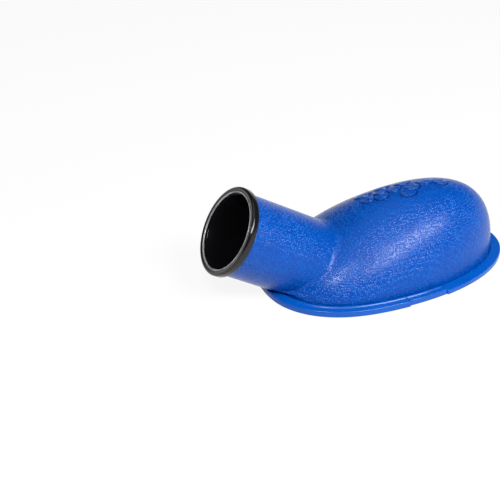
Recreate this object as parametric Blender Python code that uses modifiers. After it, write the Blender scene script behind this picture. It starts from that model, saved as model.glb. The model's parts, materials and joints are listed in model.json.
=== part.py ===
"""A foot-pumped tennis ball launcher for dogs.

A soft moulded skin, dome and neck in one, is clamped to a stiff base plate by a rim in four pieces.
A hinged treadle and a coil spring lie inside the dome. The neck holds a black barrel tube, with a
spoked ball stop set in it behind the ball and a black collar round its muzzle.
Metres, +Z up, +X towards the muzzle. The origin is on the sole's underside, at the base's middle.
"""

import math

import bmesh
import bpy
from mathutils import Euler, Matrix, Vector

# The ball and the tube that it is blown through
BALL_D = 0.0667
BALL_PLAY = 0.00065
LINER_WALL = 0.0010
LINER_GAP = 0.0006
SKIN_WALL = 0.0015
BARREL_TILT_DEG = 30.7
MUZZLE_X = 0.1532
MUZZLE_Z = 0.0669
LINER_END = 0.084
LINER_FOOT_Z = 0.0145

# The collar round the muzzle
COLLAR_WALL = 0.0028
COLLAR_LEN = 0.0062
COLLAR_LIP_PLAY = 0.0004
COLLAR_LIP_LEN = 0.0027
COLLAR_ROUND = 0.0016

# The spoked stop behind the ball, which seats with its middle at the ball's depth
BALL_DEPTH = 0.032
STOP_GAP = 0.0004
STOP_WALL = 0.0022
STOP_LEN = 0.0038
STOP_BAR = 0.003
STOP_HUB_R = 0.0055

# The base outline: a rounded egg, blunter in front
BASE_FRONT = 0.1203
BASE_REAR = 0.1203
BASE_HALF_W = 0.0751
WIDEST_X = 0.0215
FRONT_POWER = 2.37
REAR_POWER = 2.04
FLANGE_W = 0.0105
COLUMNS = 24

# Heights of the stack at the rim, from the floor up
SEAT_GAP = 0.0003
LEDGE_THICK = 0.0016
RIM_THICK = 0.0007
RIM_BEAD = 0.0006

# The dome above its foot
RIDGE_MID = 0.0665
RIDGE_FALL = 0.0219
RIDGE_BOW = 0.0076
SECTION_POWER = 1.84
SECTION_POWER_FALL = 0.52
SECTION_POWER_LEAST = 1.6
CROWN_SHARE = 0.70
WALL_SHARES = (0.82, 0.91, 0.965, 0.992)

# Where the neck leaves the dome, as distances from the muzzle round the barrel, top to bottom
NECK_ROOT_TOP = 0.092
NECK_ROOT_SHARES = (1.0, 0.935, 0.88, 0.853, 0.864, 0.859, 0.74, 0.60, 0.53)
NECK_FILLET = 0.008
NECK_MID_SHARE = 0.45
NECK_CREASE = 0.5

# The rim
RIM_SKIRT = 0.0026
CLIP_STEP = 0.0012
FOOT_GAP = 0.0008
BEAD_W = 0.0026
JOINT_GAP = 0.0003
CLIP_FRONT_DEG = 95.5
CLIP_REAR_DEG = 111.5

# The base plate
DECK_THICK = 0.0011
UPSTAND_GAP = 0.0022
UPSTAND_THICK = 0.0018
UPSTAND_TOP_Z = 0.007
SOLE_THICK = 0.0010
SOLE_PROUD = 0.0003
SOLE_INSET = 0.022
SOLE_EDGE_GAP = 0.0005
REST_RIB_THICK = 0.002
REST_RIB_X = (0.0885, 0.0945)
DECK_RIB_Y = 0.024
DECK_RIB_REAR = 0.094
DECK_RIB_FRONT = 0.070
DECK_RIB_H = 0.006
MERGE = 0.0005

# The treadle, its hinge and its spring
HINGE_X = 0.022
HINGE_Z = 0.034
PIN_R = 0.0025
PIN_GAP = 0.0003
HINGE_EYE_R = 0.0055
LUG_SHARE = 0.48
LUG_THICK = 0.004
LUG_FOOT = 0.022
CLIP_R = 0.0048
CLIP_THICK = 0.001
PIN_TAIL = 0.0012
TREADLE_REAR = 0.085
TREADLE_FRONT = 0.006
TREADLE_NARROW_SHARE = 0.75
TREADLE_GAP = 0.0042
TREADLE_THICK = 0.0025
ARM_REAR = 0.066
ARM_SHARE = 0.333
ARM_THICK = 0.003
ARM_DEPTH = 0.009
SPRING_X = -0.045
SPRING_R = 0.015
WIRE_R = 0.0011
SPRING_TURNS = 7
SPRING_GAP = 0.0005
CUP_WALL = 0.002
CUP_H = 0.006
SPIGOT_R = 0.0115
SPIGOT_H = 0.006

# The raised grips moulded on the crown: place and half sizes along and across, as shares of the grip size
GRIP_RISE = 0.0010
GRIP_ROOT = 0.0006
GRIP_SIZE = 0.010
GRIP_TOP_SHARE = 0.3
GRIP_SHARES = (
    (1.65, -1.75, 0.50, 0.42),
    (1.60, -0.55, 0.62, 0.45),
    (0.62, 0.10, 0.56, 0.40),
    (-0.55, -1.25, 1.10, 0.85),
    (-2.00, -2.10, 0.60, 0.50),
    (-1.90, 0.50, 0.80, 0.60),
    (-3.20, 0.75, 0.42, 0.45),
    (-2.85, -0.35, 0.62, 0.42),
    (-4.20, -0.90, 0.85, 0.65),
    (-5.80, -0.80, 0.70, 0.50),
)

# The small screws that come up through the ledge
SCREW_DEGS = (30, 66, 103.5, 131, 163)
SCREW_INSET = 0.0064
SCREW_R = 0.0008
SCREW_HEAD_R = 0.0018
SCREW_HEAD_H = 0.0007
SCREW_SINK = 0.0002
SCREW_PLAY = 0.0003
BOSS_R = 0.0019
BOSS_PLAY = 0.0003

# Facets and tolerances
TURN_STEPS = 40
SMALL_STEPS = 12
SCREW_STEPS = 8
COIL_STEPS = 10
SHARE_STEPS = 12
WELD = 0.00005
CUT_RUN = 0.020

BORE_R = BALL_D / 2 + BALL_PLAY
LINER_R = BORE_R + LINER_WALL
NECK_R = LINER_R + LINER_GAP + SKIN_WALL
COLLAR_R = NECK_R + SEAT_GAP + COLLAR_WALL
COLLAR_LIP_R = BORE_R + COLLAR_LIP_PLAY
BASE_Z = SOLE_PROUD
LEDGE_Z = BASE_Z + LEDGE_THICK
SKIN_Z = LEDGE_Z + SEAT_GAP + SKIN_WALL
RIM_Z = SKIN_Z + SEAT_GAP
RIM_TOP_Z = RIM_Z + RIM_THICK
DECK_Z = LEDGE_Z + DECK_THICK
FOOT_REACH = BASE_FRONT - FLANGE_W
PLATE_INSET = RIM_SKIRT + SEAT_GAP
SKIN_INSET = PLATE_INSET + SEAT_GAP
UPSTAND_INSET = FLANGE_W + SKIN_WALL + UPSTAND_GAP
LUG_Y = BASE_HALF_W * LUG_SHARE
TREADLE_HALF_W = LUG_Y
ARM_Y = BASE_HALF_W * ARM_SHARE
STOP_R = BORE_R - STOP_GAP
STOP_INNER_R = STOP_R - STOP_WALL
STOP_FRONT = BALL_DEPTH + math.sqrt((BALL_D / 2) ** 2 - STOP_INNER_R ** 2)
TILT = math.radians(BARREL_TILT_DEG)
BARREL_SPIN = Euler((0, math.pi / 2 - TILT, 0))
MUZZLE = Vector((MUZZLE_X, 0, MUZZLE_Z))


def clear_scene():
    for item in list(bpy.data.objects):
        bpy.data.objects.remove(item)


def make_collection(name):
    group = bpy.data.collections.new(name)
    bpy.context.scene.collection.children.link(group)
    return group


def make_material(name, color, roughness, metallic=0.0):
    material = bpy.data.materials.new(name)
    material.use_nodes = True
    shader = material.node_tree.nodes["Principled BSDF"]
    shader.inputs["Base Color"].default_value = (*color, 1.0)
    shader.inputs["Roughness"].default_value = roughness
    shader.inputs["Metallic"].default_value = metallic
    material.diffuse_color = (*color, 1.0)
    return material


def add_object(name, data, group, location=(0, 0, 0), rotation=(0, 0, 0)):
    item = bpy.data.objects.new(name, data)
    group.objects.link(item)
    item.location = location
    item.rotation_euler = rotation
    return item


def mesh_object(name, shape, group, location=(0, 0, 0), rotation=(0, 0, 0)):
    data = bpy.data.meshes.new(name)
    shape.to_mesh(data)
    shape.free()
    return add_object(name, data, group, location, rotation)


def curve_to_mesh(item):
    """Replaces a curve object by a welded mesh object with the same name and place."""
    bpy.context.view_layer.update()
    evaluated = item.evaluated_get(bpy.context.evaluated_depsgraph_get())
    data = bpy.data.meshes.new_from_object(evaluated)
    shape = bmesh.new()
    shape.from_mesh(data)
    bmesh.ops.remove_doubles(shape, verts=shape.verts, dist=WELD)
    bmesh.ops.recalc_face_normals(shape, faces=shape.faces)
    shape.to_mesh(data)
    shape.free()
    name = item.name
    place = item.matrix_world.copy()
    group = item.users_collection[0]
    bpy.data.objects.remove(item)
    solid = add_object(name, data, group)
    solid.matrix_world = place
    return solid


def flat_piece(name, loops, low, high, group, rotation=(0, 0, 0), location=None):
    """Extrudes closed outlines, holes included, from low to high along the local Z axis."""
    curve = bpy.data.curves.new(name, "CURVE")
    curve.dimensions = "2D"
    curve.fill_mode = "BOTH"
    curve.extrude = (high - low) / 2
    for loop in loops:
        spline = curve.splines.new("POLY")
        spline.points.add(len(loop) - 1)
        for point, (x, y) in zip(spline.points, loop):
            point.co = (x, y, 0, 1)
        spline.use_cyclic_u = True
    place = location or (0, 0, (high + low) / 2)
    return curve_to_mesh(add_object(name, curve, group, place, rotation))


def upright_piece(name, loop, y_low, y_high, group):
    """Extrudes an outline drawn in X and Z from y_low to y_high."""
    place = (0, (y_low + y_high) / 2, 0)
    return flat_piece(name, [loop], y_low, y_high, group, (math.pi / 2, 0, 0), place)


def box_piece(name, low, high, group):
    shape = bmesh.new()
    bmesh.ops.create_cube(shape, size=1)
    size = Vector(high) - Vector(low)
    bmesh.ops.scale(shape, vec=size, verts=shape.verts)
    bmesh.ops.translate(shape, vec=(Vector(high) + Vector(low)) / 2, verts=shape.verts)
    return mesh_object(name, shape, group)


def turned_piece(name, profile, group, location=(0, 0, 0), rotation=(0, 0, 0), steps=TURN_STEPS, ring=True):
    """Turns a profile of (radius, height) about Z; it runs down its outer side."""
    shape = bmesh.new()
    points = [shape.verts.new((radius, 0, height)) for radius, height in profile]
    for first, second in zip(points, points[1:]):
        shape.edges.new((first, second))
    if ring:
        shape.edges.new((points[-1], points[0]))
    item = mesh_object(name, shape, group, location, rotation)
    turn = item.modifiers.new("Turn", "SCREW")
    turn.steps = steps
    turn.render_steps = steps
    turn.use_merge_vertices = True
    turn.merge_threshold = WELD
    turn.use_smooth_shade = True
    return item


def barrel_piece(name, profile, group, steps=TURN_STEPS):
    """Turns a profile of (radius, distance in from the muzzle) about the barrel's axis."""
    turned = [(radius, -depth) for radius, depth in profile]
    return turned_piece(name, turned, group, MUZZLE, BARREL_SPIN, steps)


def disc_profile(radius, low, high):
    return [(0, high), (radius, high), (radius, low), (0, low)]


def round_piece(name, radius, low, high, group, location, rotation=(0, 0, 0), steps=SMALL_STEPS):
    return turned_piece(name, disc_profile(radius, low, high), group, location, rotation, steps, False)


def add_boolean(item, operands, operation, cutters):
    """Joins or cuts with all operands at once, kept in a collection of their own."""
    group = bpy.data.collections.new(item.name + "_" + operation.lower())
    cutters.children.link(group)
    for operand in operands:
        for old in list(operand.users_collection):
            old.objects.unlink(operand)
        group.objects.link(operand)
        operand.hide_render = True
        operand.display_type = "WIRE"
    modifier = item.modifiers.new(operation.title(), "BOOLEAN")
    modifier.operation = operation
    modifier.solver = "EXACT"
    modifier.operand_type = "COLLECTION"
    modifier.collection = group
    return modifier


def outline_point(angle, inset):
    """A point of the egg-shaped outline, drawn in by inset from the rim's outer edge."""
    across = math.cos(angle)
    along = math.sin(angle)
    power = 2 / (FRONT_POWER if across > 0 else REAR_POWER)
    reach = (BASE_FRONT - WIDEST_X if across > 0 else BASE_REAR + WIDEST_X) - inset
    x = WIDEST_X + math.copysign(abs(across) ** power, across) * reach
    y = math.copysign(abs(along) ** power, along) * (BASE_HALF_W - inset)
    return Vector((x, y))


def cage_outline(inset):
    """The control points whose smoothed ring follows the outline."""
    ring = [outline_point(2 * math.pi * step / COLUMNS, inset) for step in range(COLUMNS)]
    cage = []
    for index, point in enumerate(ring):
        bend = ring[index - 1] - 2 * point + ring[(index + 1) % COLUMNS]
        cage.append(point - bend / 6)
    return cage


def smooth_ring(ring):
    """One round of the subdivision that a creased or open edge of the skin gets."""
    finer = []
    for index, point in enumerate(ring):
        after = ring[(index + 1) % len(ring)]
        finer.append((ring[index - 1] + 6 * point + after) / 8)
        finer.append((point + after) / 2)
    return finer


def base_ring(inset):
    return smooth_ring(cage_outline(inset))


def ring_place(ring, degrees):
    """The point of the ring at an angle of the outline."""
    position = degrees / 360 * len(ring)
    index = math.floor(position)
    part = position - index
    first = ring[index % len(ring)]
    return first.lerp(ring[(index + 1) % len(ring)], part)


def dome_height(x, share):
    """Height above the foot at a share of the way from the middle of the dome to its foot."""
    run = x / FOOT_REACH
    ridge = RIDGE_MID - RIDGE_FALL * run + RIDGE_BOW * run * run
    power = max(SECTION_POWER - SECTION_POWER_FALL * run, SECTION_POWER_LEAST)
    return ridge * max(1 - share ** power, 0) ** (1 / power)


def foot_share(x, y):
    """How far a point lies from the middle, as a share of the way to the dome's foot."""
    low = 0
    high = 1
    for step in range(SHARE_STEPS):
        share = (low + high) / 2
        power = FRONT_POWER if x / share > WIDEST_X else REAR_POWER
        reach = (BASE_FRONT - WIDEST_X if x / share > WIDEST_X else BASE_REAR + WIDEST_X) - FLANGE_W
        across = abs(x / share - WIDEST_X) / reach
        along = abs(y / share) / (BASE_HALF_W - FLANGE_W)
        if across ** power + along ** power < 1:
            high = share
        else:
            low = share
    return high


def crown_z(x, y):
    return SKIN_Z + dome_height(x, foot_share(x, y))


def barrel_point(depth, turn, radius):
    """A point round the barrel's axis; turn is 90 degrees on top."""
    side = radius * math.cos(turn)
    rise = radius * math.sin(turn)
    x = MUZZLE_X - depth * math.cos(TILT) - rise * math.sin(TILT)
    z = MUZZLE_Z - depth * math.sin(TILT) + rise * math.cos(TILT)
    return Vector((x, side, z))


def grid_angle(column, row, size):
    """The angle and ring share of a crown vertex counted from the middle of the grid."""
    half = size / 2
    a = (column - half) / half
    b = (row - half) / half
    share = max(abs(a), abs(b))
    if share == 0:
        return 0.0, 0.0
    if abs(a) >= abs(b):
        turn = math.radians(45) * b / a
        angle = turn if a > 0 else math.pi + turn
    else:
        turn = math.radians(45) * a / b
        angle = math.pi / 2 - turn if b > 0 else -math.pi / 2 - turn
    return angle, share


def foot_at(angle):
    """The smoothing cage's foot at an angle that lies on one of its columns or between two."""
    ring = cage_outline(FLANGE_W)
    return ring_place(ring, math.degrees(angle) % 360)


def skin_cage():
    """The coarse cage: a crown grid, wall rings, the foot and the clamped flange, then the neck."""
    size = COLUMNS // 4
    shape = bmesh.new()
    bmesh.ops.create_grid(shape, x_segments=size, y_segments=size, size=1)
    cells = {}
    for vertex in shape.verts:
        column = round((vertex.co.x + 1) / 2 * size)
        row = round((vertex.co.y + 1) / 2 * size)
        cells[(column, row)] = vertex
        angle, share = grid_angle(column, row, size)
        reach = foot_at(angle) * share * CROWN_SHARE
        height = dome_height(reach.x, share * CROWN_SHARE)
        vertex.co = (reach.x, reach.y, SKIN_Z + height)
    rings = [crown_edge(cells, size)]
    for share in WALL_SHARES:
        rings.append(extrude_ring(shape, rings[-1]))
        for step, vertex in enumerate(rings[-1]):
            reach = foot_at(2 * math.pi * step / COLUMNS) * share
            vertex.co = (reach.x, reach.y, SKIN_Z + dome_height(reach.x, share))
    for inset in (FLANGE_W, SKIN_INSET):
        rings.append(extrude_ring(shape, rings[-1]))
        for vertex, point in zip(rings[-1], cage_outline(inset)):
            vertex.co = (point.x, point.y, SKIN_Z)
    foot = rings[-2]
    add_neck(shape, cells, rings, size)
    crease_loop(shape, foot, 1.0)
    bmesh.ops.recalc_face_normals(shape, faces=shape.faces)
    return shape


def crown_edge(cells, size):
    """The crown's edge vertices, counted from +X the way the outline turns."""
    half = size // 2
    east = [cells[(size, row)] for row in range(half, size)]
    north = [cells[(column, size)] for column in range(size, 0, -1)]
    west = [cells[(0, row)] for row in range(size, 0, -1)]
    south = [cells[(column, 0)] for column in range(size)]
    return east + north + west + south + [cells[(size, row)] for row in range(half)]


def extrude_ring(shape, ring):
    """Extrudes the edges between a ring's vertices and returns the new ring in the same order."""
    edges = []
    for index, vertex in enumerate(ring):
        edges.append(shape.edges.get((vertex, ring[(index + 1) % len(ring)])))
    made = bmesh.ops.extrude_edge_only(shape, edges=edges)["geom"]
    fresh = {part for part in made if isinstance(part, bmesh.types.BMVert)}
    following = []
    for vertex in ring:
        others = [edge.other_vert(vertex) for edge in vertex.link_edges]
        following.append(next(other for other in others if other in fresh))
    return following


def crease_loop(shape, ring, value):
    layer = shape.edges.layers.float.get("crease_edge") or shape.edges.layers.float.new("crease_edge")
    for index, vertex in enumerate(ring):
        edge = shape.edges.get((vertex, ring[(index + 1) % len(ring)]))
        edge[layer] = value


def neck_loop(cells, rings, size):
    """The loop that the neck grows from, top first, down the +Y side and back up the other."""
    middle = size // 2
    top = [cells[(size - 1, row)] for row in range(middle, size)]
    side = [ring[2] for ring in rings[:4]]
    bottom = [rings[3][1], rings[3][0], rings[3][-1]]
    back = [ring[-2] for ring in reversed(rings[:4])]
    rest = [cells[(size - 1, row)] for row in range(1, middle)]
    return top + side + bottom + back + rest


def add_neck(shape, cells, rings, size):
    """Opens the dome's front and runs the neck from there to the muzzle."""
    loop = neck_loop(cells, rings, size)
    inner = set(rings[0][:2] + rings[0][-1:] + rings[1][:2] + rings[1][-1:] + rings[2][:2] + rings[2][-1:])
    doomed = [face for face in shape.faces if any(vertex in inner for vertex in face.verts)]
    bmesh.ops.delete(shape, geom=doomed, context="FACES")
    count = len(loop)
    radius = NECK_R / math.cos(math.pi / count)
    depths = []
    for index, vertex in enumerate(loop):
        step = min(index, count - index)
        depths.append(NECK_ROOT_TOP * NECK_ROOT_SHARES[step])
        vertex.co = barrel_point(depths[-1], math.pi / 2 - 2 * math.pi * index / count, radius)
    crease_loop(shape, loop, NECK_CREASE)
    neck_end = COLLAR_LIP_LEN + SEAT_GAP
    plans = [[depth - NECK_FILLET for depth in depths]]
    plans.append([depth * NECK_MID_SHARE for depth in depths])
    plans.append([neck_end for depth in depths])
    ring = loop
    for plan in plans:
        ring = extrude_ring(shape, ring)
        for index, vertex in enumerate(ring):
            vertex.co = barrel_point(plan[index], math.pi / 2 - 2 * math.pi * index / count, radius)


def screw_places():
    """Where the rim's screws stand, on both sides."""
    ring = base_ring(SCREW_INSET)
    return [ring_place(ring, side * degrees % 360) for side in (1, -1) for degrees in SCREW_DEGS]


def screw_cutters(name, profile, group, chosen=None):
    made = []
    for place in chosen or screw_places():
        made.append(turned_piece(name, profile, group, (place.x, place.y, 0), steps=SCREW_STEPS, ring=False))
    return made


def soft_skin(name, group):
    skin = mesh_object(name, skin_cage(), group)
    soft = skin.modifiers.new("Soft", "SUBSURF")
    soft.levels = 1
    soft.render_levels = 1
    return skin


def crown_grips(group):
    """The raised grips, each laid over the crown and rooted in its wall."""
    form = soft_skin("crown_form", group)
    form.hide_render = True
    form.display_type = "WIRE"
    above = SKIN_Z + RIDGE_MID + CUT_RUN
    made = []
    for along, across, length, width in GRIP_SHARES:
        size = Matrix.Diagonal((length * GRIP_SIZE, width * GRIP_SIZE, 1, 1))
        place = Matrix.Translation((along * GRIP_SIZE, across * GRIP_SIZE, above)) @ size
        shape = bmesh.new()
        bmesh.ops.create_circle(shape, cap_ends=True, segments=SMALL_STEPS, radius=1, matrix=place)
        bmesh.ops.inset_region(shape, faces=shape.faces[:], thickness=width * GRIP_SIZE * GRIP_TOP_SHARE)
        bmesh.ops.poke(shape, faces=[face for face in shape.faces if len(face.verts) == SMALL_STEPS])
        grip = mesh_object("grip", shape, group)
        laid = grip.modifiers.new("Laid", "SHRINKWRAP")
        laid.target = form
        laid.wrap_method = "PROJECT"
        laid.use_project_z = True
        laid.use_negative_direction = True
        laid.use_positive_direction = False
        laid.offset = GRIP_RISE
        wall = grip.modifiers.new("Wall", "SOLIDIFY")
        wall.thickness = GRIP_RISE + GRIP_ROOT
        wall.offset = -1
        made.append(grip)
    return made


def make_skin(parts, cutters, material):
    skin = soft_skin("dome_skin", parts)
    wall = skin.modifiers.new("Wall", "SOLIDIFY")
    wall.thickness = SKIN_WALL
    wall.offset = -1
    wall.use_even_offset = True
    holes = screw_cutters("skin_hole", disc_profile(BOSS_R + BOSS_PLAY, LEDGE_Z, RIM_TOP_Z), cutters)
    add_boolean(skin, holes, "DIFFERENCE", cutters)
    add_boolean(skin, crown_grips(cutters), "UNION", cutters)
    skin.data.materials.append(material)


def rim_profile(outer, beaded):
    """The rim's section: (distance in from the base's outer edge, height)."""
    inner = FLANGE_W - FOOT_GAP
    lift = RIM_BEAD if beaded else 0
    half = BEAD_W / 2
    top = RIM_TOP_Z
    section = [(outer, BASE_Z), (outer, RIM_Z), (outer + half / 3, top + lift / 2)]
    section += [(outer + half, top + lift), (outer + BEAD_W, top)]
    section += [(inner - BEAD_W, top), (inner - half, top + lift), (inner - half / 3, top + lift / 2)]
    section += [(inner, RIM_Z), (RIM_SKIRT, RIM_Z), (RIM_SKIRT, BASE_Z)]
    return section


def section_ring(profile, degrees):
    """The rim's section set up across the outline at one angle."""
    return [(*ring_place(base_ring(inset), degrees % 360), height) for inset, height in profile]


def swept_rim(name, start, end, profile, group):
    """Extrudes the rim's section along the outline from one angle to another."""
    pitch = 360 / len(base_ring(0))
    stops = [start]
    stops += [index * pitch for index in range(math.ceil(start / pitch), math.floor(end / pitch) + 1)]
    stops.append(end)
    shape = bmesh.new()
    ring = [shape.verts.new(point) for point in section_ring(profile, start)]
    for index, vertex in enumerate(ring):
        shape.edges.new((vertex, ring[(index + 1) % len(ring)]))
    first = ring
    for degrees in stops[1:]:
        ring = extrude_ring(shape, ring)
        for vertex, point in zip(ring, section_ring(profile, degrees)):
            vertex.co = point
    shape.faces.new(first)
    shape.faces.new(ring)
    bmesh.ops.recalc_face_normals(shape, faces=shape.faces)
    return mesh_object(name, shape, group)


def gap_degrees(degrees):
    """The angle that half a joint's gap takes up on the outline."""
    ring = base_ring(0)
    step = (ring_place(ring, degrees + 1) - ring_place(ring, degrees)).length
    return JOINT_GAP / step / 2


def finish_rim(item, start, end, cutters, material):
    """Adds the screw bosses that lie within the piece, and their pilot holes."""
    ring = base_ring(SCREW_INSET)
    angles = [side * degrees for side in (1, -1) for degrees in SCREW_DEGS]
    inside = [angle for angle in angles for turn in (0, 360) if start < angle + turn < end]
    places = [ring_place(ring, angle % 360) for angle in inside]
    low = LEDGE_Z + SEAT_GAP
    bosses = screw_cutters("rim_boss", disc_profile(BOSS_R, low, RIM_Z + RIM_THICK / 2), cutters, places)
    add_boolean(item, bosses, "UNION", cutters)
    pilot = disc_profile(SCREW_R + SCREW_PLAY, BASE_Z, RIM_Z + RIM_THICK / 3)
    add_boolean(item, screw_cutters("rim_pilot", pilot, cutters, places), "DIFFERENCE", cutters)
    item.data.materials.append(material)


def make_rims(parts, cutters, material):
    front = CLIP_FRONT_DEG
    rear = CLIP_REAR_DEG
    spans = {
        "rim_front": (-front, front, rim_profile(0, True)),
        "rim_rear": (rear, 360 - rear, rim_profile(0, False)),
        "rim_clip_left": (front, rear, rim_profile(CLIP_STEP, True)),
        "rim_clip_right": (360 - rear, 360 - front, rim_profile(CLIP_STEP, True)),
    }
    for name, (start, end, profile) in spans.items():
        low = start + gap_degrees(start)
        high = end - gap_degrees(end)
        finish_rim(swept_rim(name, low, high, profile, parts), start, end, cutters, material)


def make_screws(parts, material):
    """The short countersunk screws that clamp the rim, one node each."""
    head_z = BASE_Z + SCREW_SINK
    tip_z = RIM_Z + RIM_THICK / 3 - SCREW_PLAY
    profile = [(0, tip_z), (SCREW_R, tip_z - SCREW_R / 2), (SCREW_R, head_z + SCREW_HEAD_H)]
    profile += [(SCREW_HEAD_R, head_z + SCREW_HEAD_H / 2), (SCREW_HEAD_R, head_z), (0, head_z)]
    for number, place in enumerate(screw_places(), 1):
        spot = (place.x, place.y, 0)
        screw = turned_piece(f"rim_screw_{number}", profile, parts, spot, steps=SCREW_STEPS, ring=False)
        screw.data.materials.append(material)


def rounded_loop(center, radius, start, end, steps):
    """Points on an arc, for outlines with a round end."""
    points = []
    for step in range(steps + 1):
        angle = math.radians(start + (end - start) * step / steps)
        points.append((center[0] + radius * math.cos(angle), center[1] + radius * math.sin(angle)))
    return points


def hinge_lugs(group):
    low = DECK_Z - MERGE
    loop = [(HINGE_X + LUG_FOOT / 2, low)]
    loop += rounded_loop((HINGE_X, HINGE_Z), HINGE_EYE_R, 0, 180, SMALL_STEPS // 2)
    loop += [(HINGE_X - LUG_FOOT / 2, low)]
    far = LUG_Y + LUG_THICK
    return [
        upright_piece("lug_left", loop, LUG_Y, far, group),
        upright_piece("lug_right", loop, -far, -LUG_Y, group),
    ]


def rest_ribs(group):
    """Cross ribs that the barrel tube's flat foot lies on, as wide as the tube is there."""
    top = LINER_FOOT_Z - SEAT_GAP
    half = REST_RIB_THICK / 2
    made = []
    for x in REST_RIB_X:
        axis_z = MUZZLE_Z - (MUZZLE_X - x) * math.tan(TILT)
        drop = (axis_z - LINER_FOOT_Z) * math.cos(TILT)
        reach = math.sqrt(LINER_R ** 2 - drop ** 2)
        made.append(box_piece("rest_rib", (x - half, -reach, DECK_Z - MERGE), (x + half, reach, top), group))
    return made


def deck_ribs(group):
    low = DECK_Z - MERGE
    top = DECK_Z + DECK_RIB_H
    half = REST_RIB_THICK / 2
    made = []
    for y in (DECK_RIB_Y, -DECK_RIB_Y):
        made.append(box_piece("deck_rib", (-DECK_RIB_REAR, y - half, low), (DECK_RIB_FRONT, y + half, top), group))
    return made


def spring_cup(group):
    outer = SPRING_R + WIRE_R + SPRING_GAP + CUP_WALL
    profile = [(outer, DECK_Z + CUP_H), (outer, DECK_Z - MERGE)]
    profile += [(outer - CUP_WALL, DECK_Z - MERGE), (outer - CUP_WALL, DECK_Z + CUP_H)]
    return turned_piece("spring_cup", profile, group, (SPRING_X, 0, 0), steps=COLUMNS)


def hinge_bore(name, radius, reach, group):
    place = (HINGE_X, 0, HINGE_Z)
    return round_piece(name, radius, -reach, reach, group, place, (math.pi / 2, 0, 0), SMALL_STEPS * 2)


def make_base(parts, cutters, material):
    base = flat_piece("base_plate", [base_ring(PLATE_INSET)], BASE_Z, LEDGE_Z, parts)
    deck = flat_piece("deck", [base_ring(UPSTAND_INSET)], LEDGE_Z - MERGE, DECK_Z, cutters)
    wall_loops = [base_ring(UPSTAND_INSET), base_ring(UPSTAND_INSET + UPSTAND_THICK)]
    wall = flat_piece("upstand", wall_loops, DECK_Z - MERGE, UPSTAND_TOP_Z, cutters)
    joined = [deck, wall, spring_cup(cutters)] + hinge_lugs(cutters) + rest_ribs(cutters) + deck_ribs(cutters)
    add_boolean(base, joined, "UNION", cutters)
    recess_top = SOLE_THICK + SEAT_GAP
    recess = flat_piece("recess", [base_ring(SOLE_INSET - SOLE_EDGE_GAP)], -BASE_Z, recess_top, cutters)
    sink = BASE_Z + SCREW_SINK + SCREW_HEAD_H + SCREW_PLAY
    hole = [(0, RIM_TOP_Z), (SCREW_R + SCREW_PLAY, RIM_TOP_Z), (SCREW_R + SCREW_PLAY, sink)]
    hole += [(SCREW_HEAD_R + SCREW_PLAY, sink), (SCREW_HEAD_R + SCREW_PLAY, -BASE_Z), (0, -BASE_Z)]
    cuts = [recess, spring_way(cutters), hinge_bore("lug_bore", PIN_R + PIN_GAP, BASE_HALF_W, cutters)]
    cuts += screw_cutters("base_hole", hole, cutters)
    add_boolean(base, cuts, "DIFFERENCE", cutters)
    base.data.materials.append(material)


def spring_way(group):
    """Clears the deck ribs out of the spring's cup."""
    radius = SPRING_R + WIRE_R + SPRING_GAP
    return round_piece("spring_way", radius, DECK_Z, DECK_Z + CUT_RUN, group, (SPRING_X, 0, 0), steps=COLUMNS)


def make_sole(parts, material):
    sole = flat_piece("sole_pad", [base_ring(SOLE_INSET)], 0, SOLE_THICK, parts)
    sole.data.materials.append(material)


def foot_cutter(name, group):
    """Everything below the flat foot that the barrel tube and the stop are trimmed to."""
    low = (-BASE_REAR, -BASE_HALF_W, -CUT_RUN)
    high = (MUZZLE_X + COLLAR_R, BASE_HALF_W, LINER_FOOT_Z)
    return box_piece(name, low, high, group)


def make_liner(parts, cutters, material):
    start = COLLAR_LIP_LEN + SEAT_GAP
    profile = [(LINER_R, start), (LINER_R, LINER_END), (BORE_R, LINER_END), (BORE_R, start)]
    liner = barrel_piece("barrel_tube", profile, parts)
    add_boolean(liner, [foot_cutter("tube_foot_cut", cutters)], "DIFFERENCE", cutters)
    liner.data.materials.append(material)


def make_collar(parts, material):
    inside = NECK_R + SEAT_GAP
    lip = COLLAR_ROUND
    profile = rounded_loop((COLLAR_R - lip, lip), lip, -90, 0, 3)
    profile += [(COLLAR_R, COLLAR_LEN), (inside, COLLAR_LEN), (inside, COLLAR_LIP_LEN)]
    profile += [(COLLAR_LIP_R, COLLAR_LIP_LEN)]
    profile += rounded_loop((COLLAR_LIP_R + lip, lip), lip, 180, 270, 2)
    collar = barrel_piece("muzzle_collar", profile, parts)
    collar.data.materials.append(material)


def barrel_box(name, size, depth, group):
    """A bar across the barrel at a depth from the muzzle; size is along its own X, Y and Z."""
    shape = bmesh.new()
    bmesh.ops.create_cube(shape, size=1)
    bmesh.ops.scale(shape, vec=size, verts=shape.verts)
    bmesh.ops.translate(shape, vec=(0, 0, -depth), verts=shape.verts)
    return mesh_object(name, shape, group, MUZZLE, BARREL_SPIN)


def make_stop(parts, cutters, material):
    end = STOP_FRONT + STOP_LEN
    ring = [(STOP_R, STOP_FRONT), (STOP_R, end), (STOP_INNER_R, end), (STOP_INNER_R, STOP_FRONT)]
    stop = barrel_piece("ball_stop", ring, parts)
    middle = (STOP_FRONT + end) / 2
    reach = STOP_R + STOP_INNER_R
    thick = STOP_LEN - 2 * SEAT_GAP
    bars = [
        barrel_box("bar_across", (STOP_BAR, reach, thick), middle, cutters),
        barrel_box("bar_up", (reach, STOP_BAR, thick), middle, cutters),
        barrel_piece("stop_hub", hub_profile(middle, thick), cutters, SMALL_STEPS * 2),
    ]
    add_boolean(stop, bars, "UNION", cutters)
    add_boolean(stop, [foot_cutter("stop_foot_cut", cutters)], "DIFFERENCE", cutters)
    stop.data.materials.append(material)


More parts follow.
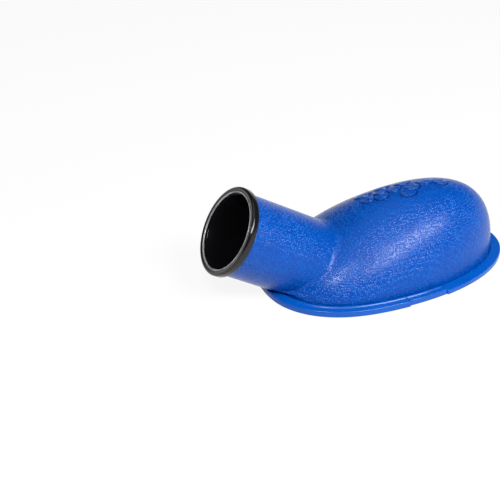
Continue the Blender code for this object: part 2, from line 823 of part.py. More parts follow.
def hub_profile(middle, thick):
    half = thick / 2 - SEAT_GAP
    return [(0, middle - half), (STOP_HUB_R, middle - half), (STOP_HUB_R, middle + half), (0, middle + half)]


def treadle_top(x, y):
    return crown_z(x, y) - SKIN_WALL - TREADLE_GAP


def treadle_plate_shape():
    """A patch that follows the underside of the crown."""
    size = COLUMNS // 4
    shape = bmesh.new()
    bmesh.ops.create_grid(shape, x_segments=size + 2, y_segments=size, size=1)
    length = TREADLE_REAR + TREADLE_FRONT
    for vertex in shape.verts:
        x = TREADLE_FRONT - length * (1 - vertex.co.x) / 2
        narrow = math.sqrt(1 - TREADLE_NARROW_SHARE * min(vertex.co.x, 0) ** 2)
        y = vertex.co.y * TREADLE_HALF_W * narrow
        vertex.co = (x, y, treadle_top(x, y))
    return shape


def arm_loop():
    """A rib under the plate that runs forward and down to the hinge eye."""
    steps = COLUMNS // 3
    upper = []
    lower = []
    for step in range(steps + 1):
        x = -ARM_REAR + (ARM_REAR + TREADLE_FRONT) * step / steps
        z = treadle_top(x, ARM_Y) - TREADLE_THICK / 2
        upper.append((x, z))
        lower.append((x, z - ARM_DEPTH))
    nose = rounded_loop((HINGE_X, HINGE_Z), HINGE_EYE_R, 60, -120, SMALL_STEPS // 2)
    return upper + nose + list(reversed(lower))


def make_treadle(parts, cutters, material, pivot):
    plate = mesh_object("treadle", treadle_plate_shape(), parts)
    wall = plate.modifiers.new("Wall", "SOLIDIFY")
    wall.thickness = TREADLE_THICK
    wall.offset = -1
    eye_reach = LUG_Y - SEAT_GAP
    spigot_top = treadle_top(SPRING_X, 0) - TREADLE_THICK / 2
    under = treadle_top(SPRING_X, 0) - TREADLE_THICK
    joined = [
        upright_piece("arm_left", arm_loop(), ARM_Y, ARM_Y + ARM_THICK, cutters),
        upright_piece("arm_right", arm_loop(), -ARM_Y - ARM_THICK, -ARM_Y, cutters),
        hinge_bore("eye", HINGE_EYE_R - MERGE, eye_reach, cutters),
        round_piece("spigot", SPIGOT_R, under - SPIGOT_H, spigot_top, cutters, (SPRING_X, 0, 0), steps=COLUMNS),
    ]
    add_boolean(plate, joined, "UNION", cutters)
    add_boolean(plate, [hinge_bore("eye_bore", PIN_R + PIN_GAP, BASE_HALF_W, cutters)], "DIFFERENCE", cutters)
    plate.data.materials.append(material)
    hang_on(plate, pivot)


def hang_on(item, pivot):
    """Parents a piece to the hinge's empty and leaves it where it is."""
    item.parent = pivot
    item.matrix_parent_inverse = Matrix.Translation(-pivot.location)


def make_pin(parts, material):
    reach = LUG_Y + LUG_THICK + SEAT_GAP + CLIP_THICK + PIN_TAIL
    pin = hinge_bore("hinge_pin", PIN_R, reach, parts)
    pin.data.materials.append(material)


def make_pin_clips(parts, material):
    """The pressed washers that keep the pin in its lugs."""
    inner = PIN_R + PIN_GAP
    low = LUG_Y + LUG_THICK + SEAT_GAP
    for name, start in (("pin_clip_left", -low - CLIP_THICK), ("pin_clip_right", low)):
        end = start + CLIP_THICK
        profile = [(CLIP_R, end), (CLIP_R, start), (inner, start), (inner, end)]
        place = (HINGE_X, 0, HINGE_Z)
        clip = turned_piece(name, profile, parts, place, (math.pi / 2, 0, 0), steps=SMALL_STEPS * 2)
        clip.data.materials.append(material)


def make_spring(parts, material):
    """A compression spring with closed ends, standing in its cup under the treadle."""
    low = DECK_Z + SEAT_GAP + WIRE_R
    high = treadle_top(SPRING_X, 0) - TREADLE_THICK - SEAT_GAP - 3 * WIRE_R
    count = COIL_STEPS * SPRING_TURNS
    dead = WIRE_R * 2 + SPRING_GAP
    points = []
    for step in range(count + 1):
        turns = step / COIL_STEPS
        share = min(max((turns - 1) / (SPRING_TURNS - 2), 0), 1)
        ends = min(turns, 1) + max(turns - SPRING_TURNS + 1, 0)
        z = low + dead * ends + (high - low - 2 * dead) * share
        angle = 2 * math.pi * turns
        points.append((SPRING_R * math.cos(angle), SPRING_R * math.sin(angle), z))
    curve = bpy.data.curves.new("return_spring", "CURVE")
    curve.dimensions = "3D"
    curve.bevel_depth = WIRE_R
    curve.bevel_resolution = 1
    curve.use_fill_caps = True
    spline = curve.splines.new("POLY")
    spline.points.add(len(points) - 1)
    for point, place in zip(spline.points, points):
        point.co = (*place, 1)
    spring = curve_to_mesh(add_object("return_spring", curve, parts, (SPRING_X, 0, 0)))
    spring.data.materials.append(material)
    print("return_spring least gap between turns, in metres:", coil_gap(points))


def coil_gap(points):
    """The least clear distance between one turn and the next."""
    gaps = []
    for index, point in enumerate(points[:-COIL_STEPS]):
        near = points[index + COIL_STEPS // 2:index + 2 * COIL_STEPS]
        gaps.append(min((Vector(point) - Vector(other)).length for other in near) - 2 * WIRE_R)
    return min(gaps)


def main():
    clear_scene()
    parts = make_collection("tennis_ball_launcher")
    cutters = make_collection("cutters")
    blue = make_material("blue_skin", (0.004, 0.105, 0.60), 0.42)
    rim_blue = make_material("blue_rim", (0.004, 0.095, 0.56), 0.30)
    black = make_material("black_gloss", (0.012, 0.012, 0.013), 0.18)
    grey = make_material("grey_plastic", (0.05, 0.055, 0.06), 0.5)
    rubber = make_material("sole_rubber", (0.02, 0.02, 0.02), 0.85)
    steel = make_material("steel", (0.62, 0.62, 0.64), 0.3, 1.0)
    pivot = add_object("hinge_axis", None, parts, (HINGE_X, 0, HINGE_Z))
    bpy.context.view_layer.update()
    make_base(parts, cutters, grey)
    make_sole(parts, rubber)
    make_skin(parts, cutters, blue)
    make_rims(parts, cutters, rim_blue)
    make_screws(parts, steel)
    make_liner(parts, cutters, black)
    make_collar(parts, black)
    make_stop(parts, cutters, black)
    make_treadle(parts, cutters, grey, pivot)
    make_pin(parts, steel)
    make_pin_clips(parts, steel)
    make_spring(parts, steel)


main()
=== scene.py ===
import json
import math
import bmesh
import bpy
import numpy as np
from mathutils import Matrix, Vector


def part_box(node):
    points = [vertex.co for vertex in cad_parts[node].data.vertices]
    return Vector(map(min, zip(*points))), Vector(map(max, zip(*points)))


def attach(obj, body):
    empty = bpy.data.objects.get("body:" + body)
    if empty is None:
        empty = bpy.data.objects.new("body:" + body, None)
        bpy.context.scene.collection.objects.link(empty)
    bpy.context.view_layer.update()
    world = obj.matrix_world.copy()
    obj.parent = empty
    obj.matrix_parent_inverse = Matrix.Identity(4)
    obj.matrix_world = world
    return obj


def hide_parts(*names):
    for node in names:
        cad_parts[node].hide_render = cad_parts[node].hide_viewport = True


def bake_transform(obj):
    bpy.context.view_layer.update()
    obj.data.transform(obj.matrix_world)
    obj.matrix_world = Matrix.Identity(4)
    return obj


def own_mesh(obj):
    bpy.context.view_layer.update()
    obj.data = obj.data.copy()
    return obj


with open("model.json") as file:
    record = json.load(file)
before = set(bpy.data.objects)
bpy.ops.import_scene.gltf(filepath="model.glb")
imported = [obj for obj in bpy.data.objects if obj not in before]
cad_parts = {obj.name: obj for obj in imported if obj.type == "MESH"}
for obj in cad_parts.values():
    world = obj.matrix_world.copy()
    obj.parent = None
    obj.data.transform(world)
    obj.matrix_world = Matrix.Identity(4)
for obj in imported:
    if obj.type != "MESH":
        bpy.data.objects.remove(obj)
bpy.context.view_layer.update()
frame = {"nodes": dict(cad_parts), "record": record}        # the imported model, in metres, +Z up, muzzle towards +X
scene = bpy.context.scene
print("frame loaded:", len(frame["nodes"]), "nodes")

# The egg-shaped outline that the rim, the dome and the base share
outline = {
    "front": 0.1203,
    "rear": 0.1203,
    "halfWide": 0.0751,
    "widestAt": 0.0215,
    "frontPower": 2.37,
    "rearPower": 2.04,
    "columns": 24,
    "rounds": 4,
    "flangeWide": 0.0105,
}

# The barrel's axis: the middle of the muzzle and its tilt
barrel = {
    "muzzleX": 0.1532,
    "muzzleZ": 0.0669,
    "tilt": math.radians(30.7),
    "bore": 0.0340,
    "neck": 0.0371,
}
muzzle = Vector((barrel["muzzleX"], 0, barrel["muzzleZ"]))
barrelPlace = Matrix.Translation(muzzle) @ Matrix.Rotation(math.pi / 2 - barrel["tilt"], 4, "Y")


def outlinePoint(angle, inset):
    across = math.cos(angle)
    along = math.sin(angle)
    ahead = across > 0
    power = 2 / outline["frontPower" if ahead else "rearPower"]
    reach = outline["front"] - outline["widestAt"] if ahead else outline["rear"] + outline["widestAt"]
    x = outline["widestAt"] + math.copysign(abs(across) ** power, across) * (reach - inset)
    y = math.copysign(abs(along) ** power, along) * (outline["halfWide"] - inset)
    return Vector((x, y))


def cageOutline(inset):
    # Control points, pushed out a little so that the smoothed ring meets the outline
    count = outline["columns"]
    ring = [outlinePoint(2 * math.pi * step / count, inset) for step in range(count)]
    bends = [ring[i - 1] - 2 * ring[i] + ring[(i + 1) % count] for i in range(count)]
    return [point - bend / 6 for point, bend in zip(ring, bends)]


def smoothRing(ring):
    finer = []
    for index, point in enumerate(ring):
        after = ring[(index + 1) % len(ring)]
        finer.append((ring[index - 1] + 6 * point + after) / 8)
        finer.append((point + after) / 2)
    return finer


def fineRing(inset):
    ring = cageOutline(inset)
    for step in range(outline["rounds"]):
        ring = smoothRing(ring)
    return ring


def ringPlace(ring, degrees):
    position = degrees % 360 / 360 * len(ring)
    index = math.floor(position)
    return ring[index % len(ring)].lerp(ring[(index + 1) % len(ring)], position - index)


def extrudeRing(bm, ring):
    # Extrudes the edges of a closed ring and gives the new vertices in the same order
    edges = [bm.edges.get((vert, ring[(i + 1) % len(ring)])) for i, vert in enumerate(ring)]
    made = bmesh.ops.extrude_edge_only(bm, edges=edges)["geom"]
    fresh = {part for part in made if isinstance(part, bmesh.types.BMVert)}
    return [next(e.other_vert(vert) for e in vert.link_edges if e.other_vert(vert) in fresh) for vert in ring]


def roundCorner(middle, radius, start, end, steps):
    points = []
    for step in range(steps + 1):
        angle = math.radians(start + (end - start) * step / steps)
        points.append((middle[0] + radius * math.cos(angle), middle[1] + radius * math.sin(angle)))
    return points


def closedOutline(bm, points):
    # A closed wire through the given points, to be spun or extruded
    verts = [bm.verts.new(point) for point in points]
    for i, vert in enumerate(verts):
        bm.edges.new((vert, verts[(i + 1) % len(verts)]))
    return verts


def bevelSharp(bm, offset, leastAngle=40):
    sharp = [e for e in bm.edges if e.is_manifold and e.calc_face_angle() > math.radians(leastAngle)]
    bmesh.ops.bevel(bm, geom=sharp, offset=offset, segments=2, profile=0.5,
                    affect="EDGES", clamp_overlap=True, material=-1)


def makePiece(name, bm, material, sharpAngle=40):
    mesh = bpy.data.meshes.new(name)
    bm.to_mesh(mesh)
    bm.free()
    piece = bpy.data.objects.new(name, mesh)
    scene.collection.objects.link(piece)
    mesh.materials.append(material)
    mesh.shade_smooth()
    mesh.set_sharp_from_angle(angle=math.radians(sharpAngle))
    return piece


def onBase(piece, node):
    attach(piece, "base")
    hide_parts(node)
    return piece


# Materials: every pattern is laid on Object coordinates, in metres
def newMaterial(name, color, roughness, metallic=0.0, specular=0.5):
    material = bpy.data.materials.new(name)
    material.use_nodes = True
    shader = material.node_tree.nodes["Principled BSDF"]
    shader.inputs["Base Color"].default_value = (*color, 1)
    shader.inputs["Roughness"].default_value = roughness
    shader.inputs["Metallic"].default_value = metallic
    shader.inputs["Specular IOR Level"].default_value = specular
    return material, shader


def addNode(material, kind, links=None, **settings):
    # Adds a node; links gives an input's name or number and the socket that feeds it
    node = material.node_tree.nodes.new(kind)
    for key, value in settings.items():
        if key in node.inputs.keys():
            node.inputs[key].default_value = value
        else:
            setattr(node, key, value)
    for key, source in (links or {}).items():
        material.node_tree.links.new(source, node.inputs[key])
    return node


def feed(material, shader, name, source):
    material.node_tree.links.new(source, shader.inputs[name])


def objectSpace(material):
    return addNode(material, "ShaderNodeTexCoord").outputs["Object"]


def noise(material, perMetre, detail):
    node = addNode(material, "ShaderNodeTexNoise", {"Vector": objectSpace(material)},
                   Scale=perMetre, Detail=detail)
    return node.outputs["Fac"]


def spread(material, source, low, high, fromLow=0.0, fromHigh=1.0, smooth=False):
    # Maps a value from one range onto another
    node = addNode(material, "ShaderNodeMapRange", {"Value": source}, **{
        "From Min": fromLow, "From Max": fromHigh, "To Min": low, "To Max": high})
    node.interpolation_type = "SMOOTHSTEP" if smooth else "LINEAR"
    return node.outputs["Result"]


def blendColor(material, factor, first, second):
    node = addNode(material, "ShaderNodeMix", data_type="RGBA")
    node.inputs[6].default_value = (*first, 1)
    node.inputs[7].default_value = (*second, 1)
    material.node_tree.links.new(factor, node.inputs[0])
    return node.outputs[2]


skinFinish = {
    # the two ends of the pebble tint: painted shade in the valleys, painted highlight on the pebble tops
    "deep": (0.0, 0.040, 0.266),
    "bright": (0.0, 0.088, 0.405),
    # painted shade laid in the grooves round the grips
    "grooveShade": (0.0, 0.018, 0.140),
    "grainPerMetre": 500,
    "grainRandom": 0.62,
    "grainEdge": (0.20, 0.60),
    "grainHigh": 0.00022,
    "grainStrength": 1.0,
    "cloudPerMetre": 38,
    "tintLeast": 0.15,
    "tintFull": 0.6,
    "finePerMetre": 2600,
    "fineShare": 0.12,
    "roughness": (0.19, 0.25),
    "specular": 0.24,
}
middleNoise = (0.3, 0.7)        # where most of a noise's values lie


def pebbledSkin():
    finish = skinFinish
    material, shader = newMaterial(
        "pebbled blue skin", finish["bright"], finish["roughness"][1], 0, finish["specular"])
    grain = addNode(material, "ShaderNodeTexVoronoi", {"Vector": objectSpace(material)}, feature="F1",
                    Scale=finish["grainPerMetre"], Randomness=finish["grainRandom"])
    pebble = spread(material, grain.outputs["Distance"], 1, 0, *finish["grainEdge"], True)
    cloud = noise(material, finish["cloudPerMetre"], 3)
    fine = noise(material, finish["finePerMetre"], 2)
    # Partly painted light: pebble tops are painted lighter as painted highlight and the valleys darker as painted
    # shade; the cloud noise adds random mottle
    pebbleLightAndMottle = addNode(material, "ShaderNodeMath", {0: pebble, 1: cloud}, operation="MULTIPLY")
    share = spread(material, pebbleLightAndMottle.outputs[0], finish["tintLeast"], 1, 0, finish["tintFull"])
    blue = blendColor(material, share, finish["deep"], finish["bright"])
    # Painted shade: the grooves round the grips are darkened in the colour, where shade falls in them
    groove = addNode(material, "ShaderNodeAttribute", attribute_name="groove").outputs["Fac"]
    shaded = addNode(material, "ShaderNodeMix", {6: blue, 0: groove}, data_type="RGBA")
    shaded.inputs[7].default_value = (*finish["grooveShade"], 1)
    feed(material, shader, "Base Color", shaded.outputs[2])
    feed(material, shader, "Roughness", spread(material, cloud, *finish["roughness"], *middleNoise))
    speckle = spread(material, fine, 0, finish["fineShare"])
    height = addNode(material, "ShaderNodeMath", {0: pebble, 1: speckle}, operation="ADD")
    bump = addNode(material, "ShaderNodeBump", {"Height": height.outputs[0]},
                   Strength=finish["grainStrength"], Distance=finish["grainHigh"])
    feed(material, shader, "Normal", bump.outputs["Normal"])
    return material


smoothFinishes = {
    # name: color, roughness low and high, mottle per metre, bump height, metallic, specular
    "rim_blue": ((0.0, 0.076, 0.385), 0.20, 0.28, 260, 0.000012, 0.0, 0.34),
    "black_gloss": ((0.004, 0.004, 0.005), 0.11, 0.18, 180, 0.000008, 0.0, 0.50),
    "base_grey": ((0.050, 0.055, 0.060), 0.45, 0.58, 1500, 0.000030, 0.0, 0.4),
    "sole_rubber": ((0.020, 0.020, 0.021), 0.78, 0.92, 1100, 0.000050, 0.0, 0.3),
    "steel": ((0.620, 0.620, 0.640), 0.26, 0.40, 900, 0.000006, 1.0, 0.5),
}
smoothLook = {
    "dim": 0.86,        # how dark the darker patches are
    "patchEdge": (0.25, 0.6),
    "bumpStrength": 0.5,
}


def smoothPlastic(slot):
    color, low, high, mottle, rise, metallic, specular = smoothFinishes[slot]
    material, shader = newMaterial("moulded " + slot, color, low, metallic, specular)
    cloud = noise(material, mottle / 8, 3)
    grain = noise(material, mottle, 2)
    feed(material, shader, "Roughness", spread(material, cloud, low, high, *middleNoise))
    dim = [channel * smoothLook["dim"] for channel in color]
    patches = spread(material, cloud, 0, 1, *smoothLook["patchEdge"])
    feed(material, shader, "Base Color", blendColor(material, patches, dim, color))
    bump = addNode(material, "ShaderNodeBump", {"Height": grain},
                   Strength=smoothLook["bumpStrength"], Distance=rise)
    feed(material, shader, "Normal", bump.outputs["Normal"])
    return material


# Painted highlight: a light grey line on the bead round the bore
lipHighlight = {
    "color": (0.34, 0.34, 0.36),
    "radius": (0.0355, 0.0359),
    "depth": (0.0013, 0.0009),
    "patchesPerMetre": 60,
    "patchEdge": (0.35, 0.6),
    "highlightLeast": 0.45,
}


def paintLipHighlight(material):
    # Painted highlight: the bead round the bore is painted light grey in patches, in place of the reflection line it
    # catches; the mask is laid round the barrel's axis
    shader = material.node_tree.nodes["Principled BSDF"]
    place = addNode(material, "ShaderNodeMapping", {"Vector": objectSpace(material)}, vector_type="TEXTURE")
    place.inputs["Location"].default_value = muzzle
    place.inputs["Rotation"].default_value = (0, math.pi / 2 - barrel["tilt"], 0)
    flat = addNode(material, "ShaderNodeVectorMath", {0: place.outputs[0]}, operation="MULTIPLY")
    flat.inputs[1].default_value = (1, 1, 0)
    radius = addNode(material, "ShaderNodeVectorMath", {0: flat.outputs[0]}, operation="LENGTH")
    ahead = addNode(material, "ShaderNodeSeparateXYZ", {"Vector": place.outputs[0]}).outputs["Z"]
    onBead = spread(material, radius.outputs["Value"], 1, 0, *lipHighlight["radius"], True)
    inFront = spread(material, ahead, 0, 1, -lipHighlight["depth"][0], -lipHighlight["depth"][1], True)
    both = addNode(material, "ShaderNodeMath", {0: onBead, 1: inFront}, operation="MULTIPLY")
    cloud = noise(material, lipHighlight["patchesPerMetre"], 2)
    patches = spread(material, cloud, lipHighlight["highlightLeast"], 1, *lipHighlight["patchEdge"])
    highlightShare = addNode(material, "ShaderNodeMath", {0: both.outputs[0], 1: patches}, operation="MULTIPLY")
    plain = shader.inputs["Base Color"].links[0].from_socket
    mix = addNode(material, "ShaderNodeMix", {6: plain, 0: highlightShare.outputs[0]}, data_type="RGBA")
    mix.inputs[7].default_value = (*lipHighlight["color"], 1)
    feed(material, shader, "Base Color", mix.outputs[2])
    return material


finishes = {slot: smoothPlastic(slot) for slot in smoothFinishes}
finishes["skin_blue"] = pebbledSkin()
collarFinish = paintLipHighlight(smoothPlastic("black_gloss"))
print("materials made:", len(finishes))

# The dome and the neck, moulded in one
dome = {
    "ridgeMiddle": 0.0665,
    "ridgeFall": 0.0219,
    "ridgeBow": 0.0076,
    "power": 1.84,
    "powerFall": 0.52,
    "powerLeast": 1.6,
    "crownShare": 0.70,
    "wallShares": (0.82, 0.91, 0.965, 0.992),
    "foot": 0.0037,
    "flangeInset": 0.0032,
    "wall": 0.0015,
    "fine": 4,
    "coarse": 2,
    "lean": math.radians(24),
    "bendFrom": 0.0505,
    "bendTo": 0.092,
}
neck = {
    "rootTop": 0.0963,
    "rootShares": (1.0, 0.989, 0.971, 0.937, 0.873, 0.820, 0.707, 0.573, 0.507),
    "fillet": 0.008,
    "middleShare": 0.45,
    "crease": 0.5,
    "end": 0.0030,
}
# Each grip's place on the crown, and its half length and half width
grips = {
    "places": (
        (0.0145, -0.0074, 0.0056, 0.0052),
        (0.0030, -0.0028, 0.0056, 0.0050),
        (0.0000, -0.0112, 0.0060, 0.0050),
        (-0.0112, -0.0086, 0.0064, 0.0050),
        (-0.0200, 0.0046, 0.0070, 0.0050),
        (-0.0275, -0.0026, 0.0064, 0.0052),
        (-0.0430, -0.0074, 0.0080, 0.0052),
        (-0.0560, -0.0018, 0.0062, 0.0052),
        (0.0130, -0.0205, 0.0074, 0.0052),
        (-0.0060, -0.0205, 0.0066, 0.0050),
        (-0.0240, -0.0160, 0.0066, 0.0050),
    ),
    "rise": 0.0013,
    "farShare": 0.30,
    "slope": 0.0010,
    "groove": 0.0008,
    "grooveWide": 0.0017,
    "margin": 0.0025,
    "cuts": 3,
    "leastUp": 0.5,
}


def domeArch(x):
    # The height of the ridge at x, and the power of the arch across it
    run = x / (outline["front"] - outline["flangeWide"])
    ridge = dome["ridgeMiddle"] - dome["ridgeFall"] * run + dome["ridgeBow"] * run * run
    return ridge, np.maximum(dome["power"] - dome["powerFall"] * run, dome["powerLeast"])


def domeHeight(x, share):
    ridge, power = domeArch(x)
    return ridge * max(1 - share ** power, 0) ** (1 / power)


def barrelPoint(depth, turn, radius):
    return barrelPlace @ Vector((-radius * math.sin(turn), radius * math.cos(turn), -depth))


def gridAngle(column, row, half):
    # Where a vertex of the square crown grid goes on the round crown: its angle and its share of the way out
    a = (column - half) / half
    b = (row - half) / half
    share = max(abs(a), abs(b))
    if share == 0:
        return 0.0, 0.0
    if abs(a) >= abs(b):
        turn = math.radians(45) * b / a
        return (turn if a > 0 else math.pi + turn), share
    turn = math.radians(45) * a / b
    return (math.pi / 2 - turn if b > 0 else -math.pi / 2 - turn), share


def crownEdge(cells, size):
    half = size // 2
    east = [cells[(size, row)] for row in range(half, size)]
    north = [cells[(column, size)] for column in range(size, 0, -1)]
    west = [cells[(0, row)] for row in range(size, 0, -1)]
    south = [cells[(column, 0)] for column in range(size)]
    return east + north + west + south + [cells[(size, row)] for row in range(half)]


def creaseRing(bm, ring, value):
    layer = bm.edges.layers.float.get("crease_edge") or bm.edges.layers.float.new("crease_edge")
    for i, vert in enumerate(ring):
        bm.edges.get((vert, ring[(i + 1) % len(ring)]))[layer] = value


def skinCage():
    count = outline["columns"]
    size = count // 4
    feet = cageOutline(outline["flangeWide"])
    bm = bmesh.new()
    bmesh.ops.create_grid(bm, x_segments=size, y_segments=size, size=1)
    cells = {}
    for vert in bm.verts:
        column = round((vert.co.x + 1) / 2 * size)
        row = round((vert.co.y + 1) / 2 * size)
        cells[(column, row)] = vert
        angle, share = gridAngle(column, row, size / 2)
        reach = ringPlace(feet, math.degrees(angle)) * share * dome["crownShare"]
        vert.co = (reach.x, reach.y, dome["foot"] + domeHeight(reach.x, share * dome["crownShare"]))
    rings = [crownEdge(cells, size)]
    for share in dome["wallShares"]:
        rings.append(extrudeRing(bm, rings[-1]))
        for vert, foot in zip(rings[-1], feet):
            reach = foot * share
            vert.co = (reach.x, reach.y, dome["foot"] + domeHeight(reach.x, share))
    for inset in (outline["flangeWide"], dome["flangeInset"]):
        rings.append(extrudeRing(bm, rings[-1]))
        for vert, point in zip(rings[-1], cageOutline(inset)):
            vert.co = (point.x, point.y, dome["foot"])
    growNeck(bm, cells, rings, size)
    creaseRing(bm, rings[-2], 1.0)
    bmesh.ops.recalc_face_normals(bm, faces=bm.faces)
    return bm


def growNeck(bm, cells, rings, size):
    # Opens the dome's front and draws the neck out of it to the muzzle
    middle = size // 2
    loop = [cells[(size - 1, row)] for row in range(middle, size)]
    loop += [ring[2] for ring in rings[:4]]
    loop += [rings[3][1], rings[3][0], rings[3][-1]]
    loop += [ring[-2] for ring in reversed(rings[:4])]
    loop += [cells[(size - 1, row)] for row in range(1, middle)]
    inside = {vert for ring in rings[:3] for vert in ring[:2] + ring[-1:]}
    opened = [face for face in bm.faces if any(vert in inside for vert in face.verts)]
    bmesh.ops.delete(bm, geom=opened, context="FACES")
    count = len(loop)
    radius = barrel["neck"] * 3 / (2 + math.cos(2 * math.pi / count))
    turns = [math.pi / 2 - 2 * math.pi * i / count for i in range(count)]
    depths = [neck["rootTop"] * neck["rootShares"][min(i, count - i)] for i in range(count)]
    for vert, depth, turn in zip(loop, depths, turns):
        vert.co = barrelPoint(depth, turn, radius)
    creaseRing(bm, loop, neck["crease"])
    ring = loop
    for plan in (
        [depth - neck["fillet"] for depth in depths],
        [depth * neck["middleShare"] for depth in depths],
        [neck["end"]] * count,
    ):
        ring = extrudeRing(bm, ring)
        for vert, depth, turn in zip(ring, plan, turns):
            vert.co = barrelPoint(depth, turn, radius)


def subdivided(cage, levels):
    # The cage after Subdivision Surface, as a new mesh
    soft = cage.modifiers.new("Soft", "SUBSURF")
    soft.levels = levels
    soft.render_levels = levels
    bpy.context.view_layer.update()
    mesh = bpy.data.meshes.new_from_object(cage.evaluated_get(bpy.context.evaluated_depsgraph_get()))
    cage.modifiers.remove(soft)
    return mesh


def gripEdge(x, y, grip):
    # How far inside a grip's edge a point lies, and how near it is to the grip's left side, from 0 to 1
    along, across, length, width = grip
    dx = (x - along) / length
    dy = (y - across) / width
    far = math.hypot(dx, dy)
    side = dy / far if far > 0 else 0
    return (1 - far) * min(length, width), min(max(0.5 + side, 0), 1)


def gripRise(x, y):
    # Each grip is a low scale, highest along its left edge, with a groove at the foot of that edge
    lift = 0
    cover = 0
    dip = 0
    for grip in grips["places"]:
        inside, near = gripEdge(x, y, grip)
        part = min(max(inside / grips["slope"] + 1, 0), 1)
        part *= part * (3 - 2 * part)
        cover = max(cover, part)
        lift = max(lift, part * (grips["farShare"] + (1 - grips["farShare"]) * near))
        reach = -inside / grips["grooveWide"]
        if 0 < reach < 1:
            dip = max(dip, near * math.sin(math.pi * reach))
    return lift * grips["rise"], dip * (1 - cover)


def isHigh(place):
    return place.z > dome["foot"] + dome["ridgeMiddle"] / 2


def nearGrip(place):
    return any(gripEdge(place.x, place.y, grip)[0] > -grips["margin"] for grip in grips["places"])


def refineGrips(bm):
    # More faces where the grips are
    edges = set()
    for face in bm.faces:
        middle = face.calc_center_median()
        if isHigh(middle) and nearGrip(middle):
            edges.update(face.edges)
    bmesh.ops.subdivide_edges(bm, edges=list(edges), cuts=grips["cuts"], use_grid_fill=True)


def raiseGrips(bm):
    # Lifts the moulded grips out of the crown, and marks the grooves for the painted shade in the skin's colour
    layer = bm.verts.layers.float.new("groove")
    lifts = {}
    for vert in bm.verts:
        if isHigh(vert.co) and vert.normal.z > grips["leastUp"]:
            rise, dip = gripRise(vert.co.x, vert.co.y)
            vert[layer] = dip
            lifts[vert] = vert.normal * (rise - dip * grips["groove"])
    for vert, lift in lifts.items():
        vert.co += lift


# How the fine skin is drawn onto the true dome and barrel, which meet in a tight fillet
drawing = {
    "fillet": 0.0034,
    "rounds": 4,
    "steps": 3,
    "searchFrom": 0.000001,
    "searchTo": 1.6,
    "searchSteps": 24,
    "step": 0.0001,
    "furthest": 0.006,
    "footFade": 0.004,
    "frontFadeFrom": 0.080,
    "frontFadeSlope": 0.35,
}


def outlineShare(x, y):
    # How far out each point lies, as a share of the way from the middle to the dome's foot
    low = np.full(len(x), drawing["searchFrom"])
    high = np.full(len(x), drawing["searchTo"])
    across = outline["halfWide"] - outline["flangeWide"]
    for step in range(drawing["searchSteps"]):
        share = (low + high) / 2
        along = x / share - outline["widestAt"]
        ahead = along > 0
        reach = np.where(ahead, outline["front"] - outline["widestAt"], outline["rear"] + outline["widestAt"])
        power = np.where(ahead, outline["frontPower"], outline["rearPower"])
        length = abs(along) / (reach - outline["flangeWide"])
        width = abs(y / share) / across
        within = length ** power + width ** power < 1
        high = np.where(within, share, high)
        low = np.where(within, low, share)
    return high


def domeField(co):
    x, y, z = co.T
    ridge, power = domeArch(x)
    height = np.maximum(z - dome["foot"], 0) / ridge
    return height ** power + outlineShare(x, y) ** power - 1


def slopeOf(field, co):
    axes = np.eye(3) * drawing["step"]
    return np.stack([(field(co + axis) - field(co - axis)) / (2 * drawing["step"]) for axis in axes], axis=1)


def skinField(co):
    # About the distance from the skin's outer face, with the dome and the barrel joined by a fillet
    toDome = domeField(co) / np.maximum(np.linalg.norm(slopeOf(domeField, co), axis=1), 1)
    axis = np.array(barrelPlace.to_3x3().col[2])
    fromMuzzle = co - np.array(muzzle)
    toBarrel = np.linalg.norm(fromMuzzle - np.outer(fromMuzzle @ axis, axis), axis=1) - barrel["neck"]
    share = np.clip(0.5 + 0.5 * (toBarrel - toDome) / drawing["fillet"], 0, 1)
    return toBarrel * (1 - share) + toDome * share - drawing["fillet"] * share * (1 - share)


def drawOnto(bm):
    # Moves the fine mesh along its normals onto the true faces; near the rim it stays where it is
    bm.verts.ensure_lookup_table()
    co = np.array([vert.co for vert in bm.verts])
    fadeFrom = dome["foot"] + np.maximum(co[:, 0] - drawing["frontFadeFrom"], 0) * drawing["frontFadeSlope"]
    weight = np.clip((co[:, 2] - fadeFrom) / drawing["footFade"], 0, 1)
    moving = [vert for vert, share in zip(bm.verts, weight) if share > 0 and not vert.is_boundary]
    chosen = np.array([vert.index for vert in moving])
    weight = weight[chosen]
    for turn in range(drawing["rounds"]):
        if turn:
            bmesh.ops.smooth_vert(bm, verts=moving, factor=0.5,
                                  use_axis_x=True, use_axis_y=True, use_axis_z=True)
        bm.normal_update()
        co = np.array([vert.co for vert in moving])
        normal = np.array([vert.normal for vert in moving])
        shift = np.zeros(len(co))
        for step in range(drawing["steps"]):
            gap = skinField(co + normal * shift[:, None])
            shift = np.clip(shift - gap, -drawing["furthest"], drawing["furthest"])
        co += normal * (shift * weight)[:, None]
        for vert, place in zip(moving, co):
            vert.co = place


def makeSkin():
    cage = makePiece("skinCage", skinCage(), finishes["skin_blue"])
    outer = subdivided(cage, dome["fine"])
    inner = subdivided(cage, dome["coarse"])
    bpy.data.objects.remove(cage)
    bm = bmesh.new()
    bm.from_mesh(inner)
    drawOnto(bm)
    bm.to_mesh(inner)
    bm.free()
    bm = bmesh.new()
    bm.from_mesh(outer)
    refineGrips(bm)
    drawOnto(bm)
    bm.normal_update()
    raiseGrips(bm)
    outside = set(bm.faces)
    bm.from_mesh(inner)
    bm.normal_update()
    inside = [face for face in bm.faces if face not in outside]
    verts = {vert for face in inside for vert in face.verts}
    lining = {vert: vert.co - vert.normal * dome["wall"] for vert in verts}
    for vert, place in lining.items():
        vert.co = place
    bmesh.ops.reverse_faces(bm, faces=inside)
    # The two open edges, at the muzzle and round the foot, are closed
    border = [edge for edge in bm.edges if edge.is_boundary]
    for atMuzzle in (True, False):
        edges = [edge for edge in border if (edge.verts[0].co.z > barrel["muzzleZ"] / 3) == atMuzzle]
        bmesh.ops.bridge_loops(bm, edges=edges)
    skin = makePiece("DomeSkin", bm, finishes["skin_blue"], 35)
    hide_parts("dome_skin")
    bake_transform(skin)
    return skin


skin = makeSkin()
print("dome skin:", len(skin.data.polygons), "faces")

